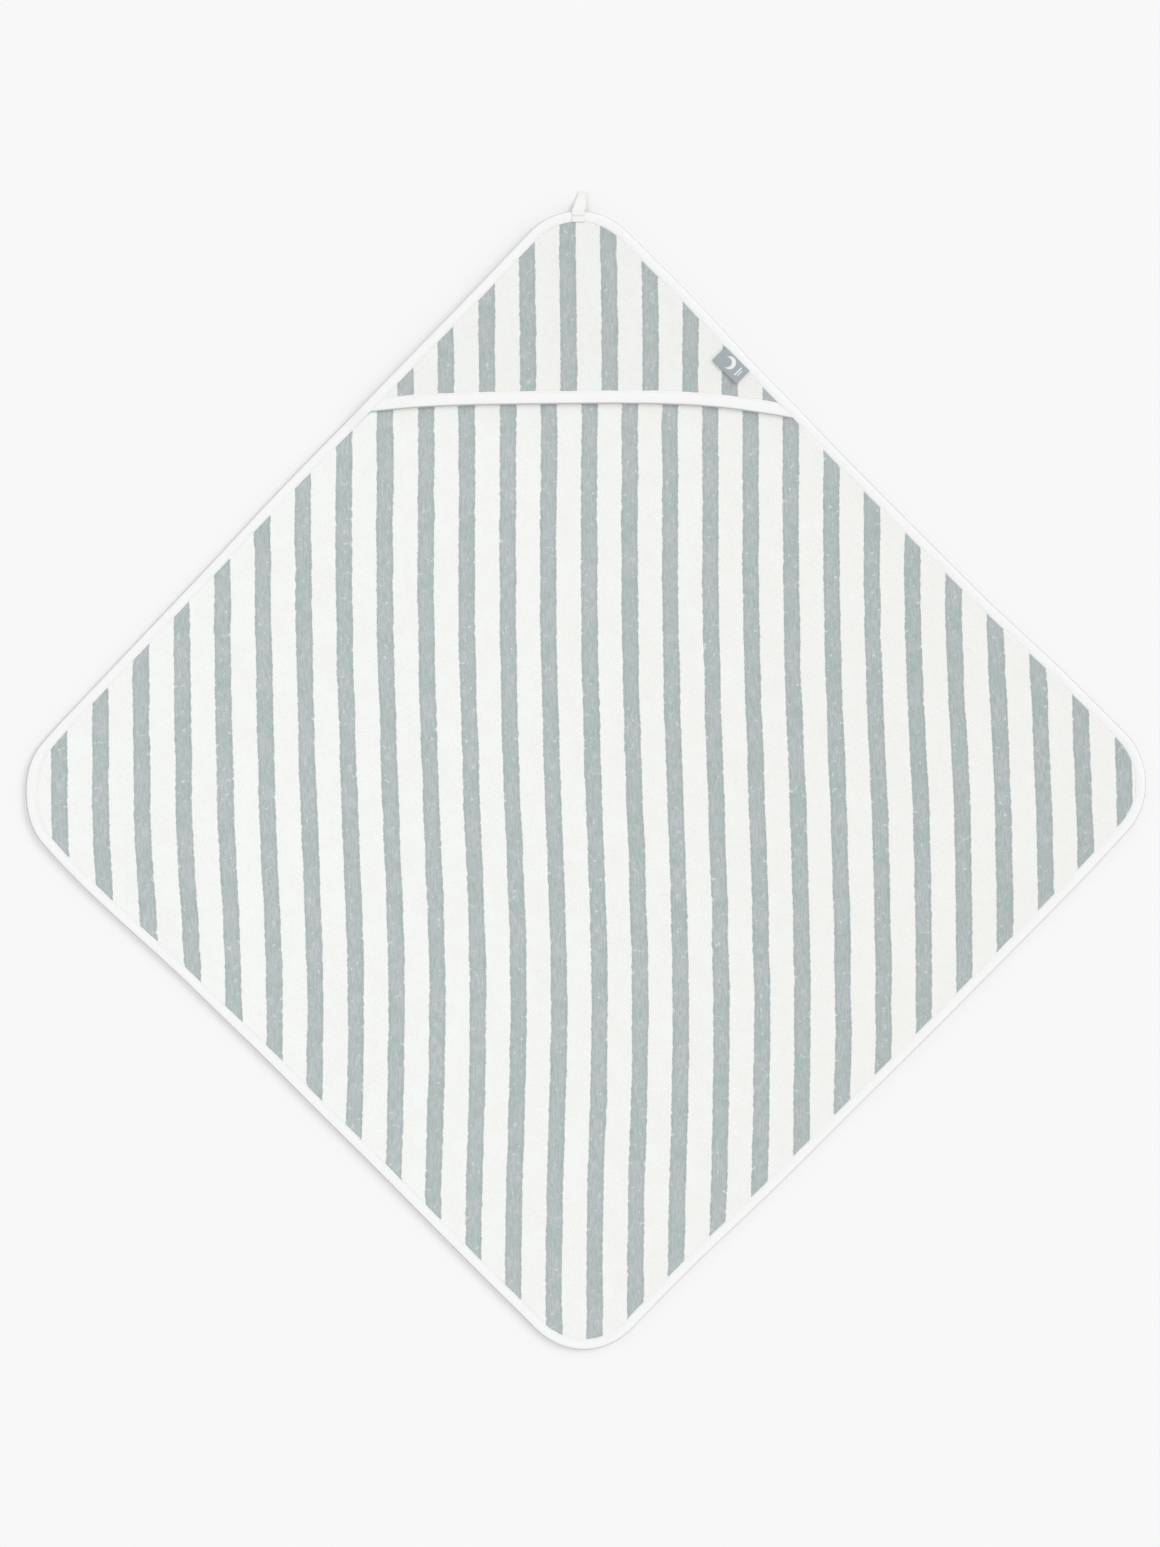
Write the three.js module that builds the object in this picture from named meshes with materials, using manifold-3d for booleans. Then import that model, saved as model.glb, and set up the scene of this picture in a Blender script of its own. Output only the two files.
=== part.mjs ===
// Hooded baby towel: a square of striped terry with a second, smaller layer of terry sewn over
// one corner as the hood. Bias tape binds the whole outline and the free edge of the hood. A tape
// loop hangs it up, and a folded woven label is caught in the seam beside the hood.
//
// Millimetres. The towel lies flat: +Z up, +Y towards the tip of the hood, and the origin is on
// the underside in the middle of the square. Driving dimensions come first.
import * as THREE from 'three';
import { mergeVertices } from 'three/addons/utils/BufferGeometryUtils.js';
import Module from 'manifold-3d';

// Terry square
const towel_side = 750;
const corner_radius = 62;
const terry_thickness = 4.4;
const pressed_terry = 3; // where the binding squeezes the pile

// Bias tape, folded round an edge
const tape_thickness = 0.6;
const binding_width = 10;

// Hood
const hood_depth = 173; // from the tip of the towel to the hood's free edge
const hood_thickness = 4;
const pressed_hood = 2.8;
const hood_binding_width = 9.4;
const pocket_height = 4.9; // slack between the hood and the square

// Hanging loop
const loop_tape_width = 11;
const loop_tape_thickness = 0.8;
const loop_reach = 17; // past the tip of the towel
const loop_height = 6.8;
const loop_tack_length = 3;
const loop_tack_inset = 3; // from the tip of the towel
const loop_tack_thickness = 0.8;

// Labels
const label_length = 30; // along the seam
const label_reach = 17; // from the binding's inner edge
const label_thickness = 0.8;
const label_from_tip = 212; // along the edge, from where the two edges would meet
const label_relief = 1.5; // room round the label where the hood leaves it free
const care_label_length = 34;
const care_label_width = 22;
const care_label_thickness = 0.5;
const care_label_from_corner = 250; // along the edge, from where the two edges would meet
const care_label_inset = 14; // from the edge

// Sewing thread
const thread_thickness = 0.6;
const stitch_inset = 1.5; // from the binding's inner edge

const clearance = 0.3; // between pieces that touch
const arc_segments = 14;
const quarter = Math.PI / 2;
const diagonal = Math.SQRT2;

// Heights
const binding_top = pressed_terry + 2 * (tape_thickness + clearance);
const hood_floor = terry_thickness + pocket_height;
const hood_middle = hood_floor + hood_thickness / 2;
const hood_binding_height = pressed_hood + 2 * (tape_thickness + clearance);
const hood_binding_bottom = hood_middle - hood_binding_height / 2;
const high_binding_top = hood_binding_bottom - clearance; // of the edge binding beside the hood

// Places
const half_side = towel_side / 2;
const tip_y = diagonal * (half_side - corner_radius) + corner_radius;
const mouth_y = tip_y - hood_depth;
const seam_inset = binding_width - stitch_inset; // the middle of the edge stitching
const stitch_inner = seam_inset + thread_thickness / 2;
const hood_inset = stitch_inner + clearance; // the hood and the label start here

const wasm = await Module();
wasm.setup();

// A closed three.js geometry as a solid that can be cut and joined.
function solid(geometry) {
  const bare = new THREE.BufferGeometry();
  bare.setAttribute('position', geometry.getAttribute('position'));
  if (geometry.index) {
    bare.setIndex(geometry.index);
  }
  const merged = mergeVertices(bare);
  const mesh = new wasm.Mesh({
    numProp: 3,
    vertProperties: new Float32Array(merged.getAttribute('position').array),
    triVerts: new Uint32Array(merged.index.array),
  });
  return new wasm.Manifold(mesh);
}

// A solid back as a geometry.
function geometryOf(body) {
  const mesh = body.getMesh();
  const geometry = new THREE.BufferGeometry();
  geometry.setAttribute('position', new THREE.BufferAttribute(mesh.vertProperties, 3));
  geometry.setIndex(new THREE.BufferAttribute(mesh.triVerts, 1));
  return geometry;
}

// The towel's outline, moved inwards by inset: a square on its corner, with round corners.
function outline(inset) {
  const shape = new THREE.Shape();
  const radius = corner_radius - inset;
  const reach = diagonal * (half_side - corner_radius);
  for (let corner = 0; corner < 4; corner += 1) {
    const middle = corner * quarter;
    const x = reach * Math.cos(middle);
    const y = reach * Math.sin(middle);
    shape.absarc(x, y, radius, middle - quarter / 2, middle + quarter / 2, false);
  }
  shape.closePath();
  return shape;
}

// A flat layer of the towel's outline, between two heights.
function layer(inset, bottom, top) {
  const settings = { depth: top - bottom, bevelEnabled: false, curveSegments: arc_segments };
  const geometry = new THREE.ExtrudeGeometry(outline(inset), settings);
  geometry.translate(0, 0, bottom);
  return solid(geometry);
}

// A band along the outline, between two insets and two heights.
function band(outer, inner, bottom, top) {
  const overshoot = 1;
  return layer(outer, bottom, top).subtract(layer(inner, bottom - overshoot, top + overshoot));
}

// Everything between two values of y, to cut with.
function slice(low, high) {
  const reach = 2 * towel_side;
  const box = new THREE.BoxGeometry(reach, high - low, reach);
  box.translate(0, (low + high) / 2, 0);
  return solid(box);
}

// The hood's side of a line across the towel.
function above(y) {
  return slice(y, towel_side);
}

// A box lying along one edge of the towel: its middle along the edge, and its insets.
// centre holds its place and the direction of the edge.
function edgeBox(along, across, height, centre) {
  const box = new THREE.BoxGeometry(along, across, height);
  box.rotateZ(centre.turn);
  box.translate(centre.x, centre.y, centre.z);
  return box;
}

// A point beside the upper right edge, so far along it from the tip corner and in from it.
function besideUpperRight(along, inset, z) {
  const corner_y = diagonal * half_side;
  const x = (along - inset) / diagonal;
  const y = corner_y - (along + inset) / diagonal;
  return { x, y, z, turn: -quarter / 2 };
}

// A point beside the lower right edge, so far along it from the bottom corner.
function besideLowerRight(along, inset, z) {
  const upper = besideUpperRight(along, inset, z);
  return { x: upper.x, y: -upper.y, z, turn: quarter / 2 };
}

function towelPanel() {
  const middle = layer(binding_width + clearance, 0, terry_thickness);
  const rim_bottom = (binding_top - pressed_terry) / 2;
  const rim = layer(tape_thickness + clearance, rim_bottom, rim_bottom + pressed_terry);
  const recess_depth = care_label_thickness + 2 * clearance;
  const place = besideLowerRight(care_label_from_corner, careLabelInset(), 0);
  const recess = solid(edgeBox(
    care_label_length + 2 * clearance,
    care_label_width + 2 * clearance,
    2 * recess_depth,
    place,
  ));
  return geometryOf(middle.add(rim).subtract(recess));
}

// The bias tape is a channel that holds the terry's rim. Beside the hood it stands higher, as it
// takes in both layers there.
function edgeBinding() {
  const whole = band(0, binding_width, 0, binding_top);
  const slot_top = binding_top - tape_thickness;
  const slot = band(tape_thickness, binding_width + 1, tape_thickness, slot_top);
  const beside_hood = band(0, binding_width, slot_top, high_binding_top)
    .intersect(above(mouth_y));
  return geometryOf(whole.subtract(slot).add(beside_hood));
}

// One closed round of thread on the binding, up and over the step at the ends of the hood.
function edgeStitching() {
  const outer = seam_inset - thread_thickness / 2;
  const low = binding_top + clearance;
  const high = high_binding_top + clearance;
  const riser_end = mouth_y - clearance;
  const riser_start = riser_end - thread_thickness;
  const lower = band(outer, stitch_inner, low, low + thread_thickness)
    .intersect(slice(-towel_side, riser_end));
  const riser = band(outer, stitch_inner, low, high + thread_thickness)
    .intersect(slice(riser_start, riser_end));
  const upper = band(outer, stitch_inner, high, high + thread_thickness)
    .intersect(above(riser_start));
  return geometryOf(lower.add(riser).add(upper));
}

// The hood is a flat corner of terry over the pocket. Its free edge is pressed thin inside its
// own binding, and it leaves room for the label that stands in the seam beside it.
function hoodPanel() {
  const cloth_start = mouth_y + hood_binding_width + clearance;
  const rim_start = mouth_y + tape_thickness + clearance;
  const rim_bottom = hood_middle - pressed_hood / 2;
  const cloth = layer(hood_inset, hood_floor, hood_floor + hood_thickness)
    .intersect(above(cloth_start));
  const rim = layer(hood_inset, rim_bottom, rim_bottom + pressed_hood)
    .intersect(slice(rim_start, cloth_start + 1));
  const relief_reach = hood_inset + label_reach + label_relief;
  const relief = solid(edgeBox(
    label_length + 2 * label_relief,
    relief_reach,
    4 * hood_floor,
    besideUpperRight(label_from_tip, relief_reach / 2, hood_floor),
  ));
  return geometryOf(cloth.add(rim).subtract(relief));
}

function hoodBinding() {
  const bottom = hood_binding_bottom;
  const top = bottom + hood_binding_height;
  const inner_y = mouth_y + hood_binding_width;
  const whole = layer(hood_inset, bottom, top).intersect(slice(mouth_y, inner_y));
  const slot = layer(0, bottom + tape_thickness, top - tape_thickness)
    .intersect(slice(mouth_y + tape_thickness, inner_y + 1));
  return geometryOf(whole.subtract(slot));
}

function hoodStitching() {
  const middle_y = mouth_y + hood_binding_width - stitch_inset;
  const bottom = hood_binding_bottom + hood_binding_height + clearance;
  const strand = layer(hood_inset + clearance, bottom, bottom + thread_thickness);
  const low_y = middle_y - thread_thickness / 2;
  return geometryOf(strand.intersect(slice(low_y, low_y + thread_thickness)));
}

// A rounded bar with straight sides, from y = 0 to length and down from z = 0 to -height.
function flatLoop(length, height) {
  const radius = height / 2;
  const shape = new THREE.Shape();
  shape.absarc(length - radius, -radius, radius, -quarter, quarter, false);
  shape.absarc(radius, -radius, radius, quarter, 3 * quarter, false);
  shape.closePath();
  return shape;
}

// The loop of tape, with its eye across the towel. Its own origin is its hinge line, at the top
// of the towel's tip.
function hangingLoop() {
  const shape = flatLoop(loop_reach, loop_height);
  const inside = flatLoop(
    loop_reach - 2 * loop_tape_thickness,
    loop_height - 2 * loop_tape_thickness,
  );
  const points = inside.getPoints(arc_segments).map(
    (p) => new THREE.Vector2(p.x + loop_tape_thickness, p.y - loop_tape_thickness),
  );
  shape.holes.push(new THREE.Path(points));
  const settings = { depth: loop_tape_width, bevelEnabled: false, curveSegments: arc_segments };
  const geometry = new THREE.ExtrudeGeometry(shape, settings);
  // The drawing's x and y become the towel's y and z, and its depth lies along x.
  geometry.rotateX(quarter);
  geometry.rotateZ(quarter);
  geometry.translate(-loop_tape_width / 2, 0, 0);
  return geometry;
}

function loopBarTack() {
  return new THREE.BoxGeometry(loop_tape_width, loop_tack_length, loop_tack_thickness);
}

function sideLabel() {
  return new THREE.BoxGeometry(label_length, label_reach, label_thickness);
}

function careLabel() {
  return new THREE.BoxGeometry(care_label_length, care_label_width, care_label_thickness);
}

function careLabelInset() {
  return care_label_inset + care_label_width / 2;
}

const towel = new THREE.Group();

function addPiece(name, geometry, color, roughness) {
  const material = new THREE.MeshStandardMaterial({ color, roughness, metalness: 0 });
  const mesh = new THREE.Mesh(geometry, material);
  mesh.name = name;
  towel.add(mesh);
  return mesh;
}

const terry_grey = 0xd6dad7;
const tape_white = 0xf7f7f8;
const tape_ivory = 0xf3f1e6;
const thread_white = 0xf4f4f2;
const label_blue = 0xa8b1b5;
const satin_white = 0xf2f2f0;

addPiece('towel_panel', towelPanel(), terry_grey, 0.97);
addPiece('edge_binding', edgeBinding(), tape_white, 0.85);
addPiece('edge_stitching', edgeStitching(), thread_white, 0.7);
addPiece('hood_panel', hoodPanel(), terry_grey, 0.97);
addPiece('hood_binding', hoodBinding(), tape_white, 0.85);
addPiece('hood_stitching', hoodStitching(), thread_white, 0.7);

const loop = addPiece('hanging_loop', hangingLoop(), tape_ivory, 0.8);
loop.position.set(0, tip_y + clearance, hood_floor);

const tack = addPiece('loop_bar_tack', loopBarTack(), thread_white, 0.7);
tack.position.set(
  0,
  tip_y - loop_tack_inset - loop_tack_length / 2,
  high_binding_top + clearance + loop_tack_thickness / 2,
);

const label = addPiece('side_label', sideLabel(), label_blue, 0.75);
const label_place = besideUpperRight(
  label_from_tip,
  hood_inset + label_reach / 2,
  hood_floor + label_thickness / 2,
);
label.position.set(label_place.x, label_place.y, label_place.z);
label.rotation.z = label_place.turn;

const care = addPiece('care_label', careLabel(), satin_white, 0.4);
const care_place = besideLowerRight(
  care_label_from_corner,
  careLabelInset(),
  clearance + care_label_thickness / 2,
);
care.position.set(care_place.x, care_place.y, care_place.z);
care.rotation.z = care_place.turn;

export default towel;
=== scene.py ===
"""A hooded baby towel, laid out flat: striped terry, white bias tape, a tape loop and two labels."""
import math

import bmesh
import bpy
from mathutils import Matrix, Vector, noise


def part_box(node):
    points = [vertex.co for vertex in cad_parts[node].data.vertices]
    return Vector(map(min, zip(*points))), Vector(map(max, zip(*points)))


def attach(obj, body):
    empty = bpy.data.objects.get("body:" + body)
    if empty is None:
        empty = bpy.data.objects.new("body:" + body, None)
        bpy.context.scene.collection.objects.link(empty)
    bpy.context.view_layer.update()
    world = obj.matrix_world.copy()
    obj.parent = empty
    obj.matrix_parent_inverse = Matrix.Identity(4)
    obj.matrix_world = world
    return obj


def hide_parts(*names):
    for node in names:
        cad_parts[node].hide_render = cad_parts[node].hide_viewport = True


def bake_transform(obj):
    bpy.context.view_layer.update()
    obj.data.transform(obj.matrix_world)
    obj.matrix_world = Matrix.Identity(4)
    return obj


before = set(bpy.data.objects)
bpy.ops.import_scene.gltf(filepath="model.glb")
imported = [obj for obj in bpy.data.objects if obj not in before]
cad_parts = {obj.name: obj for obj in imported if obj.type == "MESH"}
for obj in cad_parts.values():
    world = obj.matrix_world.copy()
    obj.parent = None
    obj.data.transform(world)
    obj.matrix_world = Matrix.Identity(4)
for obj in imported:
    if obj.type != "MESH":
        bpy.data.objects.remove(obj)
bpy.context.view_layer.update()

# ---------------------------------------------------------------------------------------------
# The table under the towel, the light and the camera. The towel is seen straight from above with
# the hood at the top, in even studio light with a soft lamp to the upper right of it.

def feed(tree, socket, value):
    """Gives an input of a shader node its value, or the socket that feeds it."""
    if isinstance(value, bpy.types.NodeSocket):
        tree.links.new(value, socket)
    else:
        socket.default_value = value


def add_node(tree, kind, settings=None, **inputs):
    """A shader node with its settings and its inputs."""
    made = tree.nodes.new("ShaderNode" + kind)
    for setting, value in (settings or {}).items():
        setattr(made, setting, value)
    for name, value in inputs.items():
        feed(tree, made.inputs[name.replace("_", " ")], value)
    return made


def new_material(name, **inputs):
    """A material with one Principled shader, and that shader."""
    material = bpy.data.materials.new(name)
    material.use_nodes = True
    tree = material.node_tree
    tree.nodes.clear()
    shader = add_node(tree, "BsdfPrincipled", **inputs)
    output = tree.nodes.new("ShaderNodeOutputMaterial")
    tree.links.new(shader.outputs["BSDF"], output.inputs["Surface"])
    return material, tree, shader


table_side = 60
table_gap = 0.0001
room_light = 0.875
lamp_light = 0.84
lamp_spread = math.radians(34)
towards_lamp = Vector((0.68, 0.42, 0.64))

table_white = new_material("table_white", Base_Color=(0.9, 0.9, 0.9, 1), Roughness=0.85)[0]
bpy.ops.mesh.primitive_plane_add(size=table_side, location=(0, 0, -table_gap))
table_top = bpy.context.object
table_top.name = "table_top"
table_top.data.materials.append(table_white)

room = bpy.data.worlds.new("room")
room.use_nodes = True
room_background = room.node_tree.nodes["Background"]
room_background.inputs["Color"].default_value = (1, 1, 1, 1)
room_background.inputs["Strength"].default_value = room_light
bpy.context.scene.world = room

soft_lamp = bpy.data.objects.new("soft_lamp", bpy.data.lights.new("soft_lamp", "SUN"))
soft_lamp.data.energy = lamp_light
soft_lamp.data.angle = lamp_spread
soft_lamp.rotation_mode = "QUATERNION"
soft_lamp.rotation_quaternion = towards_lamp.to_track_quat("Z", "Y")
bpy.context.collection.objects.link(soft_lamp)
bpy.context.scene.view_settings.view_transform = "Standard"

lens_mm = 100
sensor_mm = 36
seen_height = 1.379
looked_at = Vector((0.0027, 0.0030, 0.005))
camera = bpy.data.objects.new("camera", bpy.data.cameras.new("camera"))
camera.data.lens = lens_mm
camera.data.sensor_width = sensor_mm
camera.location = looked_at + Vector((0, 0, seen_height * lens_mm / sensor_mm))
bpy.context.collection.objects.link(camera)
bpy.context.scene.camera = camera

# ---------------------------------------------------------------------------------------------
# The terry square. It is one layer of cotton terry with woven stripes, cut square with round
# corners. Its rim is pressed thin where the bias tape grips it, and the care label lies in a
# hollow that it presses into the pile of the back.

corner_radius = 0.062
tip_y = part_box("edge_binding")[1][1]
half_side = (tip_y - corner_radius) / math.sqrt(2) + corner_radius
tape_thickness = 0.0006
binding_width = 0.0097
terry_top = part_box("towel_panel")[1][2]
rim_low, rim_high = 0.0009, 0.0038
grip_turn = 0.0011
rim_lines = (0.0012, 0.0042, 0.0072, 0.0085, 0.0093, 0.0099, 0.0112, 0.0136)
hood_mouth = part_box("hood_binding")[0][1]

# How far the corners of the laid square lie from a true square's, to the right and up.
corner_shift = {
    "tip": Vector((0.0, 0.0)),
    "right": Vector((0.0012, -0.004)),
    "bottom": Vector((0.0066, -0.0032)),
    "left": Vector((0.010, -0.014)),
}
# How far each side strays outwards from a straight line, at sixths of its length.
side_stray = {
    "upper right": (0, 0.0010, -0.0024, -0.0036, -0.0034, 0.0002, 0),
    "lower right": (0, 0.0020, 0.0012, 0.0015, 0.0024, 0.0003, 0.0003),
    "lower left": (0, 0.0016, 0.0013, 0.0024, 0.0036, 0.0064, 0.0050),
    "upper left": (0.0035, 0.0006, 0.0010, 0.0022, 0.0008, -0.0002, 0),
}
stray_depth = 0.26
# How far the cloth's corner itself is cut back or left long: the place, and how far it moves.
corner_cut = (
    (Vector((-0.5, 0)), Vector((0.0080, 0))),
    (Vector((0, -0.5)), Vector((0, -0.0024))),
)
corner_cut_reach = 0.048
# How far the lower middle of the cloth lies to the right.
drift_sideways = 0.0055
drift_middle = -0.19
drift_reach = 0.16
# How much closer the stripes lie at the bottom, and how far they sway to the side.
weave_gather, gather_reach = 0.008, 0.2
weave_sway, sway_middle, sway_reach = 0.0018, 0.14, 0.12
outwards = Vector((1, 1)) / math.sqrt(2)
leftwards = Vector((-1, 1)) / math.sqrt(2)


def smooth(value):
    """0 up to 0, 1 from 1 on, and an even turn between."""
    held = min(max(value, 0.0), 1.0)
    return held * held * (3 - 2 * held)


def stray(side, share):
    """How far a side strays at that share of its length."""
    steps = side_stray[side]
    place = min(max(share, 0.0), 0.9999) * (len(steps) - 1)
    index = int(place)
    return steps[index] + (steps[index + 1] - steps[index]) * smooth(place - index)


def cut_shift(x, y):
    """How far the uneven cutting of the corners moves a point."""
    moved = Vector((0, 0))
    for corner, shift in corner_cut:
        away = math.hypot(x - corner.x, y - corner.y) / corner_cut_reach
        if away < 2.5:
            moved = moved + shift * math.exp(-(away**2))
    return moved


def laid(x, y):
    """Where a point of the true flat square comes to lie on the table."""
    u = (x + y) / math.sqrt(2) / half_side
    v = (y - x) / math.sqrt(2) / half_side
    right, left = (1 + u) / 2, (1 + v) / 2
    moved = (
        corner_shift["tip"] * right * left
        + corner_shift["right"] * right * (1 - left)
        + corner_shift["bottom"] * (1 - right) * (1 - left)
        + corner_shift["left"] * (1 - right) * left
    )
    near = {
        "upper right": (1 - u, 1 - left, outwards),
        "lower right": (1 + v, 1 - right, -leftwards),
        "lower left": (1 + u, left, -outwards),
        "upper left": (1 - v, right, leftwards),
    }
    for side, (depth, share, direction) in near.items():
        if depth * half_side < stray_depth:
            fade = 1 - smooth(depth * half_side / stray_depth)
            moved = moved + direction * (stray(side, share) * fade)
    moved = moved + cut_shift(x, y)
    drift = drift_sideways * math.exp(-(((y - drift_middle) / drift_reach) ** 2))
    return x + moved.x + drift, y + moved.y


def edge_distance(x, y):
    """How far inside the true square's outline a point is."""
    reach = half_side - corner_radius
    across = abs(x + y) / math.sqrt(2) - reach
    along = abs(y - x) / math.sqrt(2) - reach
    outside = math.hypot(max(across, 0), max(along, 0))
    return corner_radius - outside - min(max(across, along), 0)


def rounded(u, v, inset):
    """Draws a square grid's corner in to the round corner of the outline."""
    reach = half_side - corner_radius
    radius = corner_radius - inset
    if abs(u) <= reach or abs(v) <= reach:
        return u, v
    across = (abs(u) - reach) / radius
    along = (abs(v) - reach) / radius
    new_u = reach + radius * across * math.sqrt(1 - along * along / 2)
    new_v = reach + radius * along * math.sqrt(1 - across * across / 2)
    return math.copysign(new_u, u), math.copysign(new_v, v)


def waves(x, y, size, seed):
    """Soft unevenness between -1 and 1, with bumps of about that size."""
    return noise.noise(Vector((x / size, y / size, seed * 7.31)))


def cloth_grid(bm, first, steps):
    """A grid on the square's own axes, turned onto the table's axes. Its lines run evenly from
    first, and close together near the rim."""
    before_rim = half_side - rim_lines[-1]
    lines = [first + (before_rim - first) * index / steps for index in range(steps)]
    lines += [half_side - inset for inset in reversed(rim_lines)]
    if first < 0:
        lines = [inset - half_side for inset in rim_lines[:-1]] + lines
    gaps = len(lines) - 1
    bmesh.ops.create_grid(bm, x_segments=gaps, y_segments=gaps, size=gaps / 2)
    for vert in bm.verts:
        u, v = (lines[round(place + gaps / 2)] for place in vert.co.xy)
        u, v = rounded(u, v, rim_lines[0])
        vert.co = ((u - v) / math.sqrt(2), (u + v) / math.sqrt(2), 0)


def woven_place(x, y):
    """The place of a point in the weave. The stripes run a little together towards the bottom."""
    gather = 1 + weave_gather * smooth(-y / gather_reach)
    sway = weave_sway * math.exp(-(((y - sway_middle) / sway_reach) ** 2))
    cut = cut_shift(x, y)
    return x * gather + sway + cut.x, y + cut.y


def add_upper_side(bm):
    """Closes a flat sheet at z = 0 into a body with its upper side at z = 1."""
    made = bmesh.ops.extrude_face_region(bm, geom=bm.faces[:], use_keep_orig=True)
    for part in made["geom"]:
        if isinstance(part, bmesh.types.BMVert):
            part.co.z = 1
    bmesh.ops.recalc_face_normals(bm, faces=bm.faces[:])


def thicken(bm, drawn=None):
    """Gives a sheet of cloth its upper side and a map of its places in the weave. The function
    drawn tells where the cloth's own slack draws a place to."""
    add_upper_side(bm)
    cloth_map = bm.loops.layers.uv.new("cloth")
    for face in bm.faces:
        for loop in face.loops:
            x, y = loop.vert.co.xy
            loop[cloth_map].uv = woven_place(*(drawn(x, y) if drawn else (x, y)))


def finish_piece(bm, name, material):
    """Makes the mesh a named object with its material."""
    mesh = bpy.data.meshes.new(name)
    bm.to_mesh(mesh)
    bm.free()
    mesh.materials.append(material)
    mesh.shade_smooth()
    piece = bpy.data.objects.new(name, mesh)
    bpy.context.collection.objects.link(piece)
    return piece


def math_node(tree, operation, first, second=0.0, clamp=False):
    """The result of a sum on sockets or numbers."""
    made = tree.nodes.new("ShaderNodeMath")
    made.operation = operation
    made.use_clamp = clamp
    for socket, value in zip(made.inputs, (first, second)):
        feed(tree, socket, value)
    return made.outputs[0]


def vector_node(tree, operation, first, second):
    """The result of a sum on two vectors, each a socket or three numbers."""
    made = add_node(tree, "VectorMath", {"operation": operation}, Vector=first)
    feed(tree, made.inputs[1], second)
    return made.outputs[0]


def mix_colours(tree, share, first, second):
    """The first colour, turned into the second by share."""
    made = tree.nodes.new("ShaderNodeMix")
    made.data_type = "RGBA"
    for index, value in ((0, share), (6, first), (7, second)):
        feed(tree, made.inputs[index], value)
    return made.outputs[2]


def remap(tree, value, low, high, to_low=0.0, to_high=1.0):
    """Carries low to to_low and high to to_high, with an even turn at both."""
    made = add_node(
        tree, "MapRange", {"interpolation_type": "SMOOTHSTEP"},
        Value=value, From_Min=low, From_Max=high, To_Min=to_low, To_Max=to_high,
    )
    return made.outputs[0]


def noise_node(tree, vector, scale, detail=2.0, roughness=0.5):
    """Flat noise from 0 to 1, so many bumps to the metre."""
    made = add_node(
        tree, "TexNoise", {"noise_dimensions": "2D"},
        Vector=vector, Scale=scale, Detail=detail, Roughness=roughness,
    )
    return made.outputs[0]


def roughen(tree, shader, height, strength, distance):
    """Gives a shader's surface the relief of a height, that deep in metres."""
    bump = add_node(tree, "Bump", Strength=strength, Distance=distance, Height=height)
    tree.links.new(bump.outputs["Normal"], shader.inputs["Normal"])


def new_group(name, sockets_in, sockets_out):
    """An empty shader group with named sockets, its tree, and its inner ends."""
    group = bpy.data.node_groups.new(name, "ShaderNodeTree")
    for socket, kind in sockets_in.items():
        group.interface.new_socket(socket, in_out="INPUT", socket_type="NodeSocket" + kind)
    for socket, kind in sockets_out.items():
        group.interface.new_socket(socket, in_out="OUTPUT", socket_type="NodeSocket" + kind)
    return group, group.nodes.new("NodeGroupInput"), group.nodes.new("NodeGroupOutput")


def place_group(tree, group, **inputs):
    """A group in a material, with its inputs."""
    return add_node(tree, "Group", {"node_tree": group}, **inputs)


def plus_part(tree, base, value, part):
    """The base, with that part of the value on top of it."""
    return math_node(tree, "ADD", base, math_node(tree, "MULTIPLY", value, part))


def swing(tree, value, whole):
    """Noise from 0 to 1, as a length that swings about 0 and is whole from end to end."""
    return math_node(tree, "MULTIPLY", math_node(tree, "SUBTRACT", value, 0.5), whole)


# Woven stripes: whether a point is inside a stripe, with the ragged edge that loops give it.
stripe_wander = 0.0018
stripe_raggedness = 0.0028
stripe_blur = 0.0005
stripe_rim_depth = 0.0012
stripe_group, stripe_in, stripe_out = new_group(
    "woven_stripes",
    {"Place": "Vector", "Pitch": "Float", "Width": "Float", "Middle": "Float"},
    {"Mask": "Float", "Rim": "Float"},
)
stripe_x = add_node(stripe_group, "SeparateXYZ", Vector=stripe_in.outputs["Place"]).outputs["X"]
wander = noise_node(stripe_group, stripe_in.outputs["Place"], 24.0, 1.0)
ragged = noise_node(stripe_group, stripe_in.outputs["Place"], 190.0, 4.0, 0.7)
from_middle = math_node(stripe_group, "SUBTRACT", stripe_x, stripe_in.outputs["Middle"])
wandered = swing(stripe_group, wander, stripe_wander)
from_middle = math_node(stripe_group, "ADD", from_middle, wandered)
half_pitch = math_node(stripe_group, "MULTIPLY", stripe_in.outputs["Pitch"], 0.5)
off_middle = math_node(stripe_group, "PINGPONG", from_middle, half_pitch)
roughened = swing(stripe_group, ragged, stripe_raggedness)
off_middle = math_node(stripe_group, "ADD", off_middle, roughened)
half_width = math_node(stripe_group, "MULTIPLY", stripe_in.outputs["Width"], 0.5)
past_edge = math_node(stripe_group, "SUBTRACT", off_middle, half_width)
stripe_group.links.new(
    remap(stripe_group, past_edge, -stripe_blur, stripe_blur, 1.0, 0.0), stripe_out.inputs["Mask"]
)
near_edge = math_node(stripe_group, "ADD", past_edge, stripe_rim_depth)
near_edge = math_node(stripe_group, "ABSOLUTE", near_edge)
stripe_group.links.new(
    remap(stripe_group, near_edge, 0.0002, 0.0022, 1.0, 0.0), stripe_out.inputs["Rim"]
)

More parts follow.
